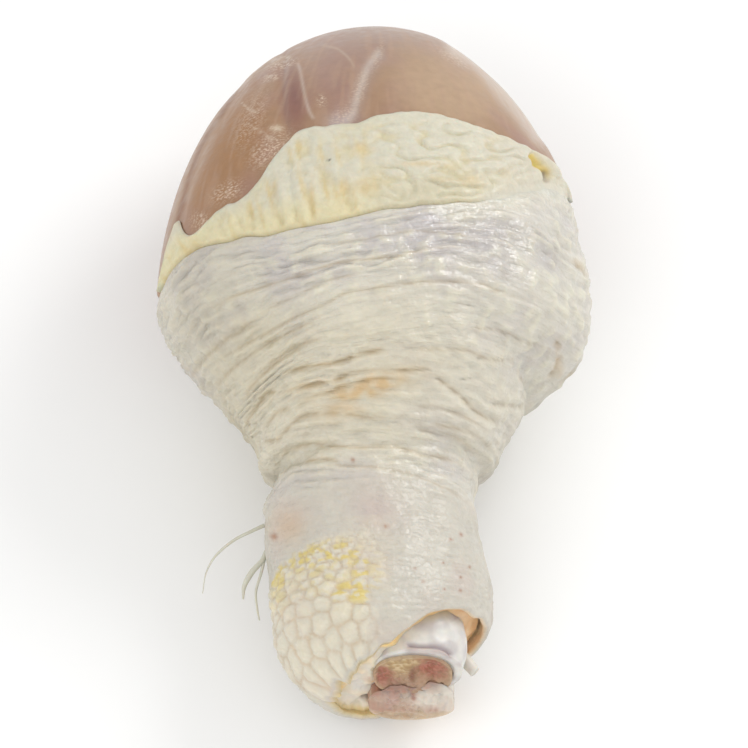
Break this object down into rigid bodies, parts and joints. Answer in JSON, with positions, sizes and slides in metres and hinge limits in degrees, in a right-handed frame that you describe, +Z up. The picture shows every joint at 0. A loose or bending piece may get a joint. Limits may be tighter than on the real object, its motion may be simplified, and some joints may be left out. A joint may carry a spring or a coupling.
{
  "type": "raw chicken drumstick",
  "caption": "Raw drumstick lying on its shin side: bare meat and a fat pad at the thick end, wrinkled pale skin, a scaly ankle cuff and the cut bone end.",
  "frame": {"origin": "on the board under the middle of the piece (centre of the bounding box's lowest face)", "axes": "+Z up, +Y along the leg towards the knee end, -Y towards the cut ankle, +X to the right seen from the ankle"},
  "size_m": [0.0641, 0.1062, 0.0487],
  "materials": {
    "skin": "raw poultry skin, pale cream with greyish violet valleys, moist",
    "fat": "raw poultry fat, cream to pale yellow, moist",
    "meat": "raw dark meat, greyish pink-tan, wet gloss",
    "bone": "cut bone, yellowish with dark red marrow",
    "cartilage": "bluish white cartilage, wet gloss",
    "gristle": "pinkish gristle, wet gloss",
    "tissue": "pale translucent connective tissue, moist",
    "feather": "whitish feather filament"
  },
  "bodies": {
    "root": {"skin": "skin", "fat": "fat", "muscle": "meat", "tibia": "bone", "cartilage": "cartilage", "gristle": "gristle", "ankle_tissue": "tissue", "tendon_stub": "cartilage", "feather_long": "feather", "feather_forked": "feather"}
  },
  "joints": []
}
